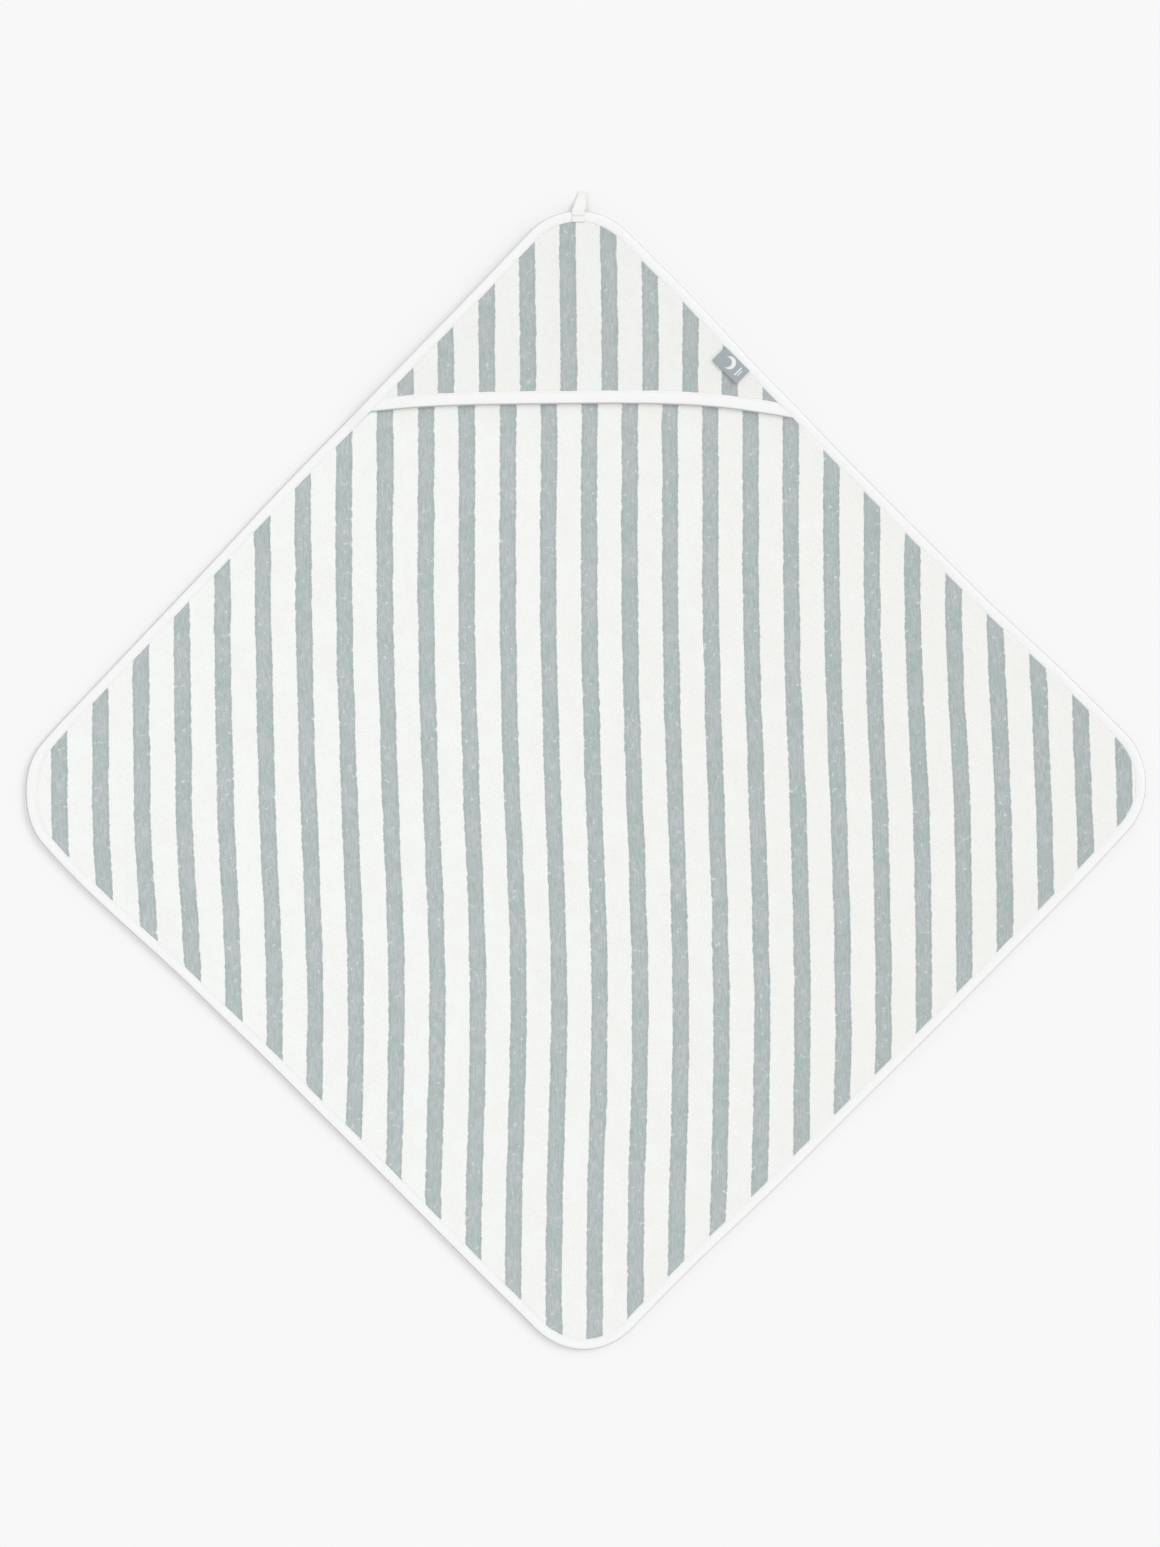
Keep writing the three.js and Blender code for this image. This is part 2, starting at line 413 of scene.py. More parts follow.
# Terry pile: small rounded loops, the fibre on them, and the way that patches of pile lean.
pile_group, pile_in, pile_out = new_group(
    "terry_pile",
    {"Place": "Vector"},
    {"Height": "Float", "Patch": "Float", "GapShade": "Float", "Streak": "Float", "Fluff": "Float"},
)
pile_place = pile_in.outputs["Place"]
bend = add_node(
    pile_group, "TexNoise", {"noise_dimensions": "2D"}, Vector=pile_place, Scale=240.0, Detail=1.0
)
bend = add_node(
    pile_group, "VectorMath", {"operation": "SCALE"}, Vector=bend.outputs["Color"], Scale=0.0014
)
loop_place = vector_node(pile_group, "ADD", pile_place, bend.outputs[0])
grain_slimness = 2.3


def pile_grains(across, turned_by):
    """Slim grains that lie every way, as the crowns of loops do: 1 on their ridges, 0 between.
    There are across cells to the metre, and turned_by is how far the grains may be turned."""
    cells = add_node(
        pile_group, "TexVoronoi", {"voronoi_dimensions": "2D", "feature": "F1"},
        Vector=loop_place, Scale=across,
    )
    from_crown = vector_node(pile_group, "SUBTRACT", loop_place, cells.outputs["Position"])
    chance = add_node(pile_group, "SeparateXYZ", Vector=cells.outputs["Color"]).outputs["X"]
    turned = add_node(
        pile_group, "VectorRotate", {"rotation_type": "Z_AXIS"},
        Vector=from_crown, Angle=math_node(pile_group, "MULTIPLY", chance, turned_by),
    )
    widths = (across, across * grain_slimness, 0)
    slim = vector_node(pile_group, "MULTIPLY", turned.outputs[0], widths)
    far = add_node(pile_group, "VectorMath", {"operation": "LENGTH"}, Vector=slim)
    return remap(pile_group, far.outputs["Value"], 0.05, 0.85, 1.0, 0.0)


loop_rise = math_node(pile_group, "MAXIMUM", pile_grains(610.0, 6.3), pile_grains(730.0, -6.3))
fibre = noise_node(pile_group, pile_place, 2200.0, 2.0)
clump = noise_node(pile_group, pile_place, 120.0, 2.0)
pile_height = plus_part(pile_group, loop_rise, fibre, 0.35)
pile_height = plus_part(pile_group, pile_height, clump, 1.6)
pile_group.links.new(pile_height, pile_out.inputs["Height"])
patch = noise_node(pile_group, pile_place, 38.0, 4.0, 0.65)
pile_group.links.new(remap(pile_group, patch, 0.3, 0.7), pile_out.inputs["Patch"])
# Painted shade: a mask of the gaps between the loops, where the terry is coloured darker.
pile_group.links.new(remap(pile_group, loop_rise, 0.05, 0.6, 1.0, 0.0), pile_out.inputs["GapShade"])
drawn_out = vector_node(pile_group, "MULTIPLY", pile_place, (1, 0.16, 1))
streak = noise_node(pile_group, drawn_out, 650.0, 3.0, 0.6)
pile_group.links.new(remap(pile_group, streak, 0.35, 0.7), pile_out.inputs["Streak"])
# Here and there a white loop has strayed onto a grey stripe, and lies there as a short curl.
curl = noise_node(pile_group, pile_place, 230.0, 1.0)
curl_line = math_node(pile_group, "ABSOLUTE", math_node(pile_group, "SUBTRACT", curl, 0.5))
curl_line = remap(pile_group, curl_line, 0.010, 0.060, 1.0, 0.0)
curl_spot = remap(pile_group, noise_node(pile_group, pile_place, 190.0, 1.0), 0.60, 0.74)
pile_group.links.new(
    math_node(pile_group, "MULTIPLY", curl_line, curl_spot), pile_out.inputs["Fluff"]
)

terry_white = (0.925, 0.942, 0.927, 1)
terry_cream = (0.902, 0.905, 0.866, 1)
# Painted shade: the dark colour mixed over the terry, most on the hood and a little towards the
# right.
terry_painted_shade = (0.26, 0.24, 0.21, 1)
# Painted shade: the darker white between the loops.
terry_gap_shade = (0.790, 0.795, 0.770, 1)
stripe_green = (0.471, 0.5515, 0.5375, 1)
stripe_blue = (0.555, 0.5875, 0.6055, 1)
# A deeper grey: the stripes' streaks and the band along their edges, and painted shade between their
# loops and towards the right.
stripe_deep_tone_and_shade = (0.350, 0.405, 0.400, 1)
stripe_fluff = (0.760, 0.790, 0.790, 1)
stripe_pitch = 0.0366
stripe_width = 0.0147


def terry_material(name, stripe_middle, painted_shade):
    """Terry with its first stripe at stripe_middle, darkened evenly by the given share of painted
    shade.
    """
    material, tree, shader = new_material(
        name, Roughness=0.95, Sheen_Weight=0.12, Sheen_Roughness=0.6, Specular_IOR_Level=0.15
    )
    place = add_node(tree, "UVMap", {"uv_map": "cloth"}).outputs["UV"]
    stripes = place_group(
        tree, stripe_group,
        Place=place, Pitch=stripe_pitch, Width=stripe_width, Middle=stripe_middle,
    )
    pile = place_group(tree, pile_group, Place=place)
    # Painted shade: the terry is made warmer and darker towards the right, as light falls on its
    # leaning pile.
    rightward_shade = remap(tree, add_node(tree, "SeparateXYZ", Vector=place).outputs["X"], -0.30, 0.48)
    cream_share = math_node(tree, "MULTIPLY", pile.outputs["Patch"], 0.55)
    rightward_shade_cream = math_node(tree, "MULTIPLY", rightward_shade, 0.6)
    cream_share = math_node(tree, "ADD", cream_share, rightward_shade_cream, clamp=True)
    white = mix_colours(tree, cream_share, terry_white, terry_cream)
    grey = mix_colours(tree, pile.outputs["Patch"], stripe_green, stripe_blue)
    rim_share = math_node(tree, "MULTIPLY", stripes.outputs["Rim"], 0.25)
    grey = mix_colours(tree, rim_share, grey, stripe_deep_tone_and_shade)
    streak_share = math_node(tree, "MULTIPLY", pile.outputs["Streak"], 0.52)
    # Painted shade: the grey streaks deepen towards the right.
    streak_share = plus_part(tree, streak_share, rightward_shade, 0.17)
    grey = mix_colours(tree, streak_share, grey, stripe_deep_tone_and_shade)
    fluff_share = math_node(tree, "MULTIPLY", pile.outputs["Fluff"], 0.75)
    grey = mix_colours(tree, fluff_share, grey, stripe_fluff)
    colour = mix_colours(tree, stripes.outputs["Mask"], white, grey)
    # Painted shade: the terry is darkened evenly by the given share, and a little more towards the
    # right.
    painted_shade_share = plus_part(tree, painted_shade, rightward_shade, 0.02)
    colour = mix_colours(tree, painted_shade_share, colour, terry_painted_shade)
    # Painted shade: darker colour between the pile's loops, white or grey as the stripe is.
    gap_shade_share = math_node(tree, "MULTIPLY", pile.outputs["GapShade"], 0.14)
    gap_shade_colour = mix_colours(tree, stripes.outputs["Mask"], terry_gap_shade, stripe_deep_tone_and_shade)
    colour = mix_colours(tree, gap_shade_share, colour, gap_shade_colour)
    tree.links.new(colour, shader.inputs["Base Color"])
    roughen(tree, shader, pile.outputs["Height"], 0.34, 0.0008)
    return material


care_low, care_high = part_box("care_label")
care_middle = Vector(((care_low[0] + care_high[0]) / 2, (care_low[1] + care_high[1]) / 2))
care_length, care_width, care_thickness = 0.034, 0.022, 0.0005
hollow_slope = 0.004
hollow_spare = 0.0006


def care_hollow(x, y):
    """1 over the care label and 0 past its edges. The label's length lies at 45 degrees."""
    along = abs((x - care_middle.x) + (y - care_middle.y)) / math.sqrt(2) - care_length / 2
    across = abs((y - care_middle.y) - (x - care_middle.x)) / math.sqrt(2) - care_width / 2
    return 1 - smooth(max(along, across) / hollow_slope)


# The pile swells up against the tape's edge, and climbs with the tape where that rises to take in
# the ends of the hood.
rim_swell = 0.0004
rim_swell_reach = 0.008
loose_reach = 0.03
underside_wave = 0.00012
binding_low_height = terry_top + 0.0004
binding_high_height = 0.0087
binding_climb = 0.020
hood_end_left, hood_end_right = 0.0050, 0.0094
climb_end = 0.004
# How high the cloth's unevenness stands, and how wide its bumps are.
ripple_height, ripple_size = 0.0006, 0.055
billow_height, billow_size = 0.0009, 0.16
clump_height, clump_size = 0.0003, 0.007
underside_size = 0.009
square_grid_steps = 202


def past_hood_end(x, y):
    """How far up the towel a place is from the end of the hood's free edge on its side."""
    return y - hood_mouth + (hood_end_right if x > 0 else hood_end_left)


def binding_height(x, y):
    """The height of the binding's top at a point of the rim, higher where it takes in the hood."""
    rise = smooth(past_hood_end(x, y) / binding_climb + 0.5)
    return binding_low_height + (binding_high_height - binding_low_height) * rise


def grip(inside):
    """1 where the binding grips the cloth, and 0 inside its inner edge."""
    return 1 - smooth((inside + grip_turn) / grip_turn)


def square_height(x, y, upper):
    """The height of the terry square's upper or lower side."""
    inside = edge_distance(x, y) - binding_width
    gripped = grip(inside)
    if upper:
        loose = smooth(inside / loose_reach) * (1 - smooth((y - hood_mouth) / loose_reach + 1))
        soft = ripple_height * waves(x, y, ripple_size, 2)
        soft += billow_height * waves(x, y, billow_size, 3)
        clumps = clump_height * waves(x, y, clump_size, 1) * (1 - gripped)
        rim_y = y + edge_distance(x, y) / math.sqrt(2)
        climb = binding_height(x, rim_y) - binding_low_height
        climb *= 1 - smooth(past_hood_end(x, y) / climb_end)
        swell = (rim_swell + climb) * math.exp(-(max(inside, 0) / rim_swell_reach))
        loose_height = terry_top + soft * loose + clumps + swell
        return loose_height + (rim_high - loose_height) * gripped
    pressed = max(gripped * rim_low, care_hollow(x, y) * (care_thickness + hollow_spare))
    return max(pressed, underside_wave * (1 + waves(x, y, underside_size, 4)))


square_bm = bmesh.new()
cloth_grid(square_bm, rim_lines[-1] - half_side, square_grid_steps)
thicken(square_bm)
for vert in square_bm.verts:
    flat_x, flat_y, upper_side = vert.co
    height = square_height(flat_x, flat_y, upper_side > 0.5)
    vert.co = (*laid(flat_x, flat_y), height)
square_terry = terry_material("striped_terry", stripe_middle=0.0093, painted_shade=0.0)
terry_square = finish_piece(square_bm, "terry_square", square_terry)
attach(terry_square, "towel")
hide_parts("towel_panel")

# ---------------------------------------------------------------------------------------------
# The hood is a corner of the same terry over the square. Its two sides are sewn into the edge
# binding, and its free edge is a little slack, so it lies a few millimetres off the square.

hood_seam_low = 0.0043
hood_seam_thickness = 0.0032
hood_thickness = 0.0035
hood_slack = 0.0004
hood_rise = 0.0006
hood_rise_reach = 0.080
hood_ripple_height, hood_ripple_size, hood_ripple_reach = 0.0007, 0.07, 0.03
hood_clump_size = 0.0065
hood_binding_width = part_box("hood_binding")[1][1] - hood_mouth
hood_rim_thickness = 0.0028
hood_grip_start, hood_grip_turn = 0.0012, 0.0014
mouth_half = 0.177
mouth_bow_left, mouth_bow_right = 0.0046, 0.0104
mouth_shift = 0.0032
bow_depth = 0.09
bow_limit = 1.08
tape_spread = 0.0029
seam_reach = 0.025


def bowed(x, y):
    """Draws the hood's free edge down towards its ends, as the slack cloth lies, and spreads the
    soft tape that binds it. Beside the seams the cloth is drawn along them."""
    bow = mouth_bow_right if x > 0 else mouth_bow_left
    share = 1 - smooth((y - hood_mouth) / bow_depth)
    spread = tape_spread * min(max((y - hood_mouth) / hood_binding_width, 0), 1)
    down = (bow * min(abs(x) / mouth_half, bow_limit) ** 4 - mouth_shift - spread) * share
    beside_seam = 1 - smooth((edge_distance(x, y) - binding_width) / seam_reach)
    return x + down * beside_seam * math.copysign(1, x), y - down


def hood_middle_height(x, y):
    """The middle of the hood's thickness: low at the seams and slack over the pocket."""
    inside = edge_distance(x, y) - binding_width
    low = hood_seam_low + hood_seam_thickness / 2
    high = hood_seam_low + hood_slack + hood_thickness / 2
    rise = hood_rise * smooth(inside / hood_rise_reach)
    ripple = hood_ripple_height * waves(x, y, hood_ripple_size, 5)
    ripple *= smooth(inside / hood_ripple_reach)
    return low + (high - low) * (1 - grip(inside)) + rise + ripple


def hood_height(x, y, upper):
    """The height of the hood's upper or lower side."""
    inside = edge_distance(x, y) - binding_width
    from_tape = y - hood_mouth - hood_binding_width
    gripped = max(grip(inside), 1 - smooth((from_tape + hood_grip_start) / hood_grip_turn))
    swell = 2 * rim_swell * math.exp(-(max(min(inside, from_tape), 0) / rim_swell_reach))
    full = (hood_thickness + swell) * (1 - gripped)
    pressed = hood_rim_thickness * gripped
    side = 0.5 if upper else -0.5
    clumps = clump_height * waves(x, y, hood_clump_size, 6) * (1 - gripped) if upper else 0
    return hood_middle_height(x, y) + side * (full + pressed) + clumps


# The cloth is cut off inside the tape's fold, and at both ends under the edge binding. Two more
# lines along the tape's inner edge let the cloth turn sharply there.
hood_cloth_reach = 0.188
hood_cloth_end = hood_mouth + 0.0010
hood_tape_edge = hood_mouth + hood_binding_width
hood_turn_start, hood_turn_end = -0.0013, 0.0002
hood_grid_side, hood_grid_steps = 0.29, 160
hood_bm = bmesh.new()
cloth_grid(hood_bm, half_side - hood_grid_side, hood_grid_steps)
for cut_place, cut_facing, trims in (
    ((0, hood_cloth_end, 0), (0, -1, 0), True),
    ((0, hood_tape_edge + hood_turn_start, 0), (0, -1, 0), False),
    ((0, hood_tape_edge + hood_turn_end, 0), (0, -1, 0), False),
    ((hood_cloth_reach, 0, 0), (1, 0, 0), True),
    ((-hood_cloth_reach, 0, 0), (-1, 0, 0), True),
):
    bmesh.ops.bisect_plane(
        hood_bm,
        geom=hood_bm.verts[:] + hood_bm.edges[:] + hood_bm.faces[:],
        dist=1e-6,
        plane_co=cut_place,
        plane_no=cut_facing,
        clear_outer=trims,
    )
thicken(hood_bm, bowed)
for vert in hood_bm.verts:
    flat_x, flat_y, upper_side = vert.co
    height = hood_height(flat_x, flat_y, upper_side > 0.5)
    vert.co = (*laid(*bowed(flat_x, flat_y)), height)
# The hood's terry is a darker copy of the square's, with painted shade over it.
hood_terry = terry_material("striped_terry_hood", stripe_middle=-0.0092, painted_shade=0.045)
terry_hood = finish_piece(hood_bm, "terry_hood", hood_terry)


def lift_with_hood(piece):
    """Folds a piece of the hood onto its left half, bakes its transform into the mesh, and unfolds
    it again."""
    own_x = [vert.co.x for vert in piece.data.vertices]
    for vert in piece.data.vertices:
        vert.co.x = -abs(vert.co.x)
    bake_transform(piece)
    for vert, x in zip(piece.data.vertices, own_x):
        vert.co.x = x


lift_with_hood(terry_hood)
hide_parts("hood_panel")

# ---------------------------------------------------------------------------------------------
# The edge binding is one length of white cotton bias tape, folded round the rim all the way round
# and stitched down. Beside the hood it takes in both layers of terry, so it stands higher.

binding_spacing = 0.0015
stitch_inset = 0.0082
stitch_pitch = 0.0030
seam_half_width = 0.0011
seam_depth, stitch_depth = 0.00014, 0.00010
tape_fullness = 0.00015
pucker_height, pucker_length, pucker_width = 0.00016, 0.007, 0.006
swell_height, swell_length, swell_width = 0.00022, 0.028, 0.02
relief_from = 0.0025
straight_length = 2 * (half_side - corner_radius)
arc_length = corner_radius * math.pi / 2
round_length = 4 * (straight_length + arc_length)
section_steps = 34
section_map = 0.045
channel_flat = 0.36
channel_round = 0.0013
hem_depth = 0.0020
hem_width = 0.0028
hem_round = 0.0003
flat_spacing = 1.5
fold_squareness = 0.8


def rim_point(distance):
    """A point on the true outline, clockwise from the upper right side, and which way is out."""
    side, along = divmod(distance % round_length, straight_length + arc_length)
    turned = max(along - straight_length, 0) / corner_radius
    out_angle = math.radians(45 - 90 * side) - turned
    corner_angle = math.radians(90 - 90 * side) - (math.pi / 2 if turned > 0 else 0)
    corner_reach = math.sqrt(2) * (half_side - corner_radius)
    corner = Vector((math.cos(corner_angle), math.sin(corner_angle))) * corner_reach
    out = Vector((math.cos(out_angle), math.sin(out_angle)))
    travel = Vector((out.y, -out.x)) * (min(along, straight_length) if turned == 0 else 0)
    return corner + out * corner_radius + travel, out


def channel(turn, width, height, wall):
    """A point on the section of tape folded round an edge: how far in and how high. The first
    half of a turn goes over the outside from bottom to top, and the second comes back inside.
    The tape's upper edge is turned under, which makes a thick hem that sinks into the pile."""
    inside = turn > 0.5
    share = (1 - turn) * 2 if inside else turn * 2
    thin = wall if inside else 0
    half_height = height / 2 - thin
    if share < channel_flat:
        return width - (width - channel_round) * (share / channel_flat) ** flat_spacing, thin
    if share > 1 - channel_flat:
        from_edge = (width - channel_round) * ((1 - share) / channel_flat) ** flat_spacing
        if inside:
            sunk = hem_depth * (1 - smooth(from_edge / hem_width))
        else:
            sunk = hem_round * (1 - smooth(from_edge / (2 * hem_round)))
        return width - from_edge, height - thin - sunk
    angle = math.pi * ((share - channel_flat) / (1 - 2 * channel_flat) - 0.5)
    out = (channel_round - thin) * math.cos(angle) ** fold_squareness
    up = half_height * math.copysign(abs(math.sin(angle)) ** fold_squareness, angle)
    return channel_round - out, height / 2 + up


def tape_relief(distance, inset, seed):
    """How the tape's face stands: full between its edges, drawn down and puckered at the seam."""
    seam = math.exp(-(((inset - stitch_inset) / seam_half_width) ** 2))
    stitch_beat = 0.5 + 0.5 * math.cos(2 * math.pi * distance / stitch_pitch)
    full = tape_fullness * math.sin(math.pi * min(inset / stitch_inset, 1))
    puckered = Vector((distance / pucker_length, inset / pucker_width, seed))
    swollen = Vector((distance / swell_length, inset / swell_width, seed + 3))
    pucker = pucker_height * noise.noise(puckered) + swell_height * noise.noise(swollen)
    return full + pucker - seam * (seam_depth + stitch_depth * stitch_beat)


def close_tube(bm, is_ring=False):
    """Welds a rolled grid into a tube with closed ends, or into a ring."""
    bmesh.ops.remove_doubles(bm, verts=bm.verts[:], dist=1e-6)
    if not is_ring:
        bmesh.ops.holes_fill(bm, edges=[edge for edge in bm.edges if edge.is_boundary], sides=0)
    bmesh.ops.recalc_face_normals(bm, faces=bm.faces[:])


def tape_grid(length, spacing, around):
    """A grid for rolling: x runs from 0 to length, and y round the section from 0 to 1."""
    bm = bmesh.new()
    steps = round(length / spacing)
    bmesh.ops.create_grid(bm, x_segments=steps, y_segments=around, size=0.5)
    for vert in bm.verts:
        vert.co = ((vert.co.x + 0.5) * length, vert.co.y + 0.5, 0)
    tape_map = bm.loops.layers.uv.new("tape")
    for face in bm.faces:
        for loop in face.loops:
            loop[tape_map].uv = (loop.vert.co.x, loop.vert.co.y * section_map)
    return bm


# Plain weave: two sets of threads that pass over and under each other.
weave_group, weave_in, weave_out = new_group(
    "plain_weave",
    {"Place": "Vector", "Along": "Float", "Across": "Float"},
    {"Height": "Float", "Slub": "Float"},
)
weave_axes = add_node(weave_group, "SeparateXYZ", Vector=weave_in.outputs["Place"])
warp, weft = (
    math_node(
        weave_group, "SINE",
        math_node(weave_group, "MULTIPLY", weave_axes.outputs[axis], weave_in.outputs[turns]),
    )
    for axis, turns in (("X", "Along"), ("Y", "Across"))
)
crossing = math_node(weave_group, "MULTIPLY", warp, weft)
weave_group.links.new(remap(weave_group, crossing, -1.0, 1.0), weave_out.inputs["Height"])
weave_group.links.new(
    noise_node(weave_group, weave_in.outputs["Place"], 420.0, 3.0, 0.6), weave_out.inputs["Slub"]
)

# Painted shade: a soft grey line along the tape's outer fold, where it meets the table.
crease_place = section_map * 0.275
crease_painted_shade = (0.50, 0.50, 0.51, 1)


def tape_material(name, colour, shade, thread_pitch, crease_shade=0.0):
    """Woven tape in one colour, with painted shade between its threads and in a thin line along its
    outer fold, and darker slubs.
    """
    material, tree, shader = new_material(
        name, Roughness=0.85, Sheen_Weight=0.05, Specular_IOR_Level=0.2
    )
    place = add_node(tree, "UVMap", {"uv_map": "tape"}).outputs["UV"]
    turns = math.pi / thread_pitch
    weave = place_group(tree, weave_group, Place=place, Along=turns, Across=turns)
    # Painted shade: the tape is darker between its threads.
    depth = math_node(tree, "SUBTRACT", 1.0, weave.outputs["Height"])
    depth = math_node(tree, "MULTIPLY", depth, 0.18)
    base = mix_colours(tree, depth, colour, shade)
    slub = remap(tree, weave.outputs["Slub"], 0.35, 0.75, 0.0, 0.15)
    base = mix_colours(tree, slub, base, shade)
    round_section = add_node(tree, "SeparateXYZ", Vector=place).outputs["Y"]
    from_crease = math_node(tree, "SUBTRACT", round_section, crease_place)
    from_crease = math_node(tree, "ABSOLUTE", from_crease)
    crease_shade_share = remap(tree, from_crease, 0.0005, 0.0018, crease_shade, 0.0)
    base = mix_colours(tree, crease_shade_share, base, crease_painted_shade)
    tree.links.new(base, shader.inputs["Base Color"])
    roughen(tree, shader, weave.outputs["Height"], 0.5, 0.0002)
    return material


white_tape = tape_material(
    "white_bias_tape", (0.93, 0.93, 0.935, 1), (0.80, 0.80, 0.81, 1), 0.0005, crease_shade=0.9
)

binding_seed = 11
binding_bm = tape_grid(round_length, binding_spacing, section_steps)
for vert in binding_bm.verts:
    rim_distance, section_turn = vert.co.x, vert.co.y
    place, out = rim_point(rim_distance)
    inset, height = channel(
        section_turn, binding_width, binding_height(place.x, place.y), tape_thickness
    )
    if section_turn < 0.5 and height > relief_from:
        height += tape_relief(rim_distance, inset, binding_seed)
    flat = place - out * inset
    vert.co = (*laid(flat.x, flat.y), height)
close_tube(binding_bm, is_ring=True)
bias_binding = finish_piece(binding_bm, "bias_binding", white_tape)
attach(bias_binding, "towel")
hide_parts("edge_binding")

# ---------------------------------------------------------------------------------------------
# The edge stitching is a lockstitch in white polyester thread, 1.5 mm from the binding's inner
# edge. Each stitch is a short length of thread that dips into the tape at both ends.

stitch_length = 0.0025
thread_radius = 0.00022

thread_white, thread_tree, thread_shader = new_material(
    "white_thread", Roughness=0.6, Sheen_Weight=0.1, Specular_IOR_Level=0.3
)
thread_place = add_node(thread_tree, "TexCoord").outputs["Object"]
thread_twist = add_node(
    thread_tree, "TexNoise", Vector=thread_place, Scale=2600.0, Detail=1.0
).outputs[0]
thread_tree.links.new(
    mix_colours(thread_tree, thread_twist, (0.90, 0.90, 0.89, 1), (0.82, 0.82, 0.81, 1)),
    thread_shader.inputs["Base Color"],
)
roughen(thread_tree, thread_shader, thread_twist, 0.5, 0.0001)


def add_stitch(bm, start, end):
    """One stitch as a slim bead from start to end."""
    along = end - start
    turn = along.to_track_quat("Z", "Y").to_matrix().to_4x4()
    size = Matrix.Diagonal((thread_radius, thread_radius, along.length / 2, 1))
    bmesh.ops.create_uvsphere(
        bm, u_segments=6, v_segments=4, radius=1,
        matrix=Matrix.Translation((start + end) / 2) @ turn @ size,
    )


def edge_stitch_point(distance):
    """A point on the line of stitching on the edge binding."""
    place, out = rim_point(distance)
    flat = place - out * stitch_inset
    relief = tape_relief(distance, stitch_inset, binding_seed)
    height = binding_height(place.x, place.y) + relief + thread_radius / 2
    return Vector((*laid(flat.x, flat.y), height))


stitch_bm = bmesh.new()
for index in range(round(round_length / stitch_pitch)):
    begin = (index + 0.5) * stitch_pitch - stitch_length / 2
    add_stitch(stitch_bm, edge_stitch_point(begin), edge_stitch_point(begin + stitch_length))
edge_stitches = finish_piece(stitch_bm, "edge_stitches", thread_white)
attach(edge_stitches, "towel")
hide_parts("edge_stitching")

# ---------------------------------------------------------------------------------------------
# The hood's free edge is bound in the same tape and stitched in the same way. The ends of the
# tape are caught under the edge binding.

hood_tape_reach = 0.1905
hood_tape_spacing = 0.0025
hood_tape_height = 0.0039
hood_tape_seed = 23


def hood_tape_point(x, inset, height_share):
    """A point of the hood's tape: along it, up from the free edge, and through its height. The
    tape's ends are cut slanting, along the seams."""
    x *= 1 - inset / hood_tape_reach
    y = hood_mouth + inset
    height = hood_middle_height(x, y) + (height_share - 0.5) * hood_tape_height
    return Vector((*laid(*bowed(x, y)), height))


hood_tape_bm = tape_grid(2 * hood_tape_reach, hood_tape_spacing, section_steps)
for vert in hood_tape_bm.verts:
    tape_x, section_turn = vert.co.x - hood_tape_reach, vert.co.y
    inset, height = channel(section_turn, hood_binding_width, hood_tape_height, tape_thickness)
    spot = hood_tape_point(tape_x, inset, height / hood_tape_height)
    if section_turn < 0.5 and height > hood_tape_height / 2:
        spot.z += tape_relief(tape_x, inset, hood_tape_seed)
    vert.co = spot
close_tube(hood_tape_bm)
hood_tape = finish_piece(hood_tape_bm, "hood_tape", white_tape)
lift_with_hood(hood_tape)
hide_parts("hood_binding")

hood_stitch_reach = 0.183
hood_stitch_inset = hood_binding_width - 0.0015
hood_stitch_bm = bmesh.new()
for index in range(round(2 * hood_stitch_reach / stitch_pitch)):
    ends = []
    for step in (0, stitch_length):
        stitch_x = index * stitch_pitch - hood_stitch_reach + step
        spot = hood_tape_point(stitch_x, hood_stitch_inset, 1)
        spot.z += tape_relief(stitch_x, stitch_inset, hood_tape_seed) + thread_radius / 2
        ends.append(spot)
    add_stitch(hood_stitch_bm, *ends)
hood_stitches = finish_piece(hood_stitch_bm, "hood_stitches", thread_white)
lift_with_hood(hood_stitches)
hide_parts("hood_stitching")

# ---------------------------------------------------------------------------------------------
# The hanging loop is a folded length of ivory cotton tape. Its front end lies over the binding
# and is tacked down, and its back end is caught at the back of the edge.

loop_low, loop_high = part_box("hanging_loop")
loop_spread = 1.09
loop_width = (loop_high[0] - loop_low[0]) * loop_spread
loop_thickness = 0.0006
loop_front_length = 0.0105
loop_aside = 0.0012
loop_lean = 0.26
loop_narrowing = 0.24
loop_drop = 0.0034
loop_top = loop_high[2] - loop_thickness / 2
loop_fold = 0.0004
loop_fold_middle = 0.0007
loop_back_height = 0.0036
loop_leg = loop_high[1] - loop_thickness / 2 - loop_fold - tip_y
loop_length = loop_front_length + 2 * loop_leg + math.pi * loop_fold


def loop_path(distance):
    """A point on the middle of the loop's tape, that far from its front end. The front leg sinks
    to the table, turns over in a small fold, and comes back to the edge underneath."""
    reach = distance - loop_front_length
    share = smooth(reach / loop_drop)
    turn = (reach - loop_leg) / loop_fold
    back = reach - loop_leg - math.pi * loop_fold
    if turn < 0:
        sunk = loop_fold_middle + loop_fold
        return Vector((tip_y + reach, loop_top + (sunk - loop_top) * share))
    if back < 0:
        arc = Vector((math.sin(turn), math.cos(turn))) * loop_fold
        return Vector((tip_y + loop_leg, loop_fold_middle)) + arc
    risen = smooth(back / loop_leg) * (loop_back_height - loop_fold_middle + loop_fold)
    return Vector((tip_y + loop_leg - back, loop_fold_middle - loop_fold + risen))


ivory_tape = tape_material("ivory_tape", (0.890, 0.888, 0.875, 1), (0.82, 0.81, 0.79, 1), 0.0007)

